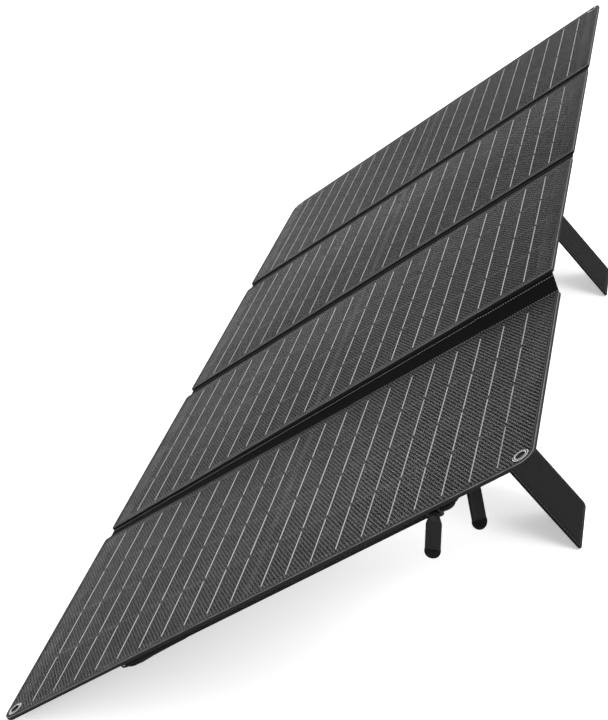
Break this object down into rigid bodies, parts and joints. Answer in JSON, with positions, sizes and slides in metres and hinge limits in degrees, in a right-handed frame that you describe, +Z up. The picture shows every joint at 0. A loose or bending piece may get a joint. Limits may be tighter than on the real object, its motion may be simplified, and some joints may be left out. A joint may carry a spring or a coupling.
{
  "type": "solar panel",
  "caption": "Portable folding solar panel: cloth-hinged sheets on rear kick-flaps, with corner eyelets and a zipped back pouch holding a small junction box.",
  "frame": {"origin": "middle of the footprint, on the ground under the standing panel", "axes": "+Z up; +Y along the row of panels, from the pouch end to the other; +X from the ground edge towards the raised edge and the kick-flaps"},
  "size_m": [0.3488, 0.866, 0.2483],
  "materials": {
    "front_film": "clear embossed film over dark cells, satin",
    "seal_sheet": "dark encapsulant",
    "cell": "near-black silicon wafer",
    "ribbon": "tinned flat ribbon",
    "board": "black fibre board",
    "back_fabric": "fine woven polyester, charcoal",
    "fold_fabric": "woven polyester, black",
    "copper_foil": "flat copper conductor",
    "eyelet": "dark nickel",
    "kick_fabric": "smooth coated polyester, dark grey",
    "webbing": "flat woven webbing",
    "pouch_fabric": "woven polyester, black",
    "zip": "nylon coil on tape",
    "slider": "black enamel",
    "pull_rubber": "soft moulded rubber",
    "box_plastic": "fine-textured black moulding",
    "screw": "plated steel",
    "pcb": "green solder mask",
    "socket_steel": "plated steel shell",
    "gland_rubber": "black rubber bush"
  },
  "bodies": {
    "panel_1": {"back_fabric_1": "back_fabric", "backing_board_1": "board", "busbar_ribbons_1": "ribbon", "cell_seal_sheet_1": "seal_sheet", "corner_eyelets_1": "eyelet", "front_film_1": "front_film", "solar_cells_1": "cell", "pouch_gusset": "pouch_fabric", "zip_upper": "zip", "junction_box_base": "box_plastic", "junction_box_lid": "box_plastic", "junction_box_screws": "screw", "circuit_board": "pcb", "usb_a_socket": "socket_steel", "usb_c_socket": "socket_steel", "output_gland": "gland_rubber"},
    "panel_2": {"back_fabric_2": "back_fabric", "backing_board_2": "board", "busbar_ribbons_2": "ribbon", "cell_seal_sheet_2": "seal_sheet", "front_film_2": "front_film", "solar_cells_2": "cell", "fold_strip_1": "fold_fabric", "fold_jumpers_1": "copper_foil", "fold_strip_2": "fold_fabric", "fold_jumpers_2": "copper_foil", "kick_hinge_tape_2": "kick_fabric", "kick_limit_strap_2": "webbing"},
    "panel_3": {"back_fabric_3": "back_fabric", "backing_board_3": "board", "busbar_ribbons_3": "ribbon", "cell_seal_sheet_3": "seal_sheet", "front_film_3": "front_film", "solar_cells_3": "cell", "fold_strip_3": "fold_fabric", "fold_jumpers_3": "copper_foil"},
    "panel_4": {"back_fabric_4": "back_fabric", "backing_board_4": "board", "busbar_ribbons_4": "ribbon", "cell_seal_sheet_4": "seal_sheet", "corner_eyelets_4": "eyelet", "front_film_4": "front_film", "solar_cells_4": "cell", "kick_hinge_tape_4": "kick_fabric", "kick_limit_strap_4": "webbing"},
    "kick_flap_2": {"kick_sleeve_2": "kick_fabric", "kick_board_2": "board"},
    "kick_flap_4": {"kick_sleeve_4": "kick_fabric", "kick_board_4": "board"},
    "pouch_cover": {"pouch_cover": "pouch_fabric", "zip_lower": "zip"},
    "slider_near": {"zip_slider_near": "slider"},
    "slider_top": {"zip_slider_top": "slider"},
    "pull_near": {"pull_tab_near": "pull_rubber"},
    "pull_top": {"pull_tab_top": "pull_rubber"}
  },
  "joints": [
    {"name": "fold_1", "type": "hinge", "parent": "panel_2", "child": "panel_1", "pos_m": [-0.01746, -0.22, 0.12359], "axis": [-0.7925, 0, -0.6099], "range_deg": [0, 180], "deforming": ["fold_strip_1", "fold_jumpers_1"]},
    {"name": "fold_2", "type": "hinge", "parent": "panel_2", "child": "panel_3", "pos_m": [-0.01525, 0, 0.12075], "axis": [-0.7845, 0, -0.6202], "range_deg": [0, 180], "deforming": ["fold_strip_2", "fold_jumpers_2"]},
    {"name": "fold_3", "type": "hinge", "parent": "panel_3", "child": "panel_4", "pos_m": [-0.0191, 0.22, 0.12562], "axis": [0.7845, 0, 0.6202], "range_deg": [0, 180], "deforming": ["fold_strip_3", "fold_jumpers_3"]},
    {"name": "kick_flap_2_fold", "type": "hinge", "parent": "panel_2", "child": "kick_flap_2", "pos_m": [0.02886, -0.134, 0.15767], "axis": [0, 1, 0], "range_deg": [0, 94.3], "deforming": ["kick_limit_strap_2"]},
    {"name": "kick_flap_4_fold", "type": "hinge", "parent": "panel_4", "child": "kick_flap_4", "pos_m": [0.02886, 0.306, 0.15767], "axis": [0, 1, 0], "range_deg": [0, 94.3], "deforming": ["kick_limit_strap_4"]},
    {"name": "pouch_cover_open", "type": "hinge", "parent": "panel_1", "child": "pouch_cover", "pos_m": [0.00375, -0.235, 0.12706], "axis": [0.8004, 0, 0.5994], "range_deg": [0, 90]},
    {"name": "zip_slider_near_travel", "type": "slide", "parent": "pouch_cover", "child": "slider_near", "axis": [-0.8004, 0, -0.5994], "range_m": [0, 0.2]},
    {"name": "zip_slider_top_travel", "type": "slide", "parent": "pouch_cover", "child": "slider_top", "axis": [0, 1, 0], "range_m": [0, 0.13]},
    {"name": "pull_tab_near_swing", "type": "hinge", "parent": "slider_near", "child": "pull_near", "pos_m": [0.0934, -0.4307, 0.1942], "axis": [0, 1, 0], "range_deg": [-60, 25]},
    {"name": "pull_tab_top_swing", "type": "hinge", "parent": "slider_top", "child": "pull_top", "pos_m": [0.11114, -0.41186, 0.20748], "axis": [0.566, -0.7071, 0.4239], "range_deg": [-6, 40]}
  ],
  "couplings": [
    {"joint": "fold_3", "follows": "fold_2", "ratio": 1},
    {"joint": "kick_flap_2_fold", "follows": "fold_2", "ratio": 0.52384}
  ]
}
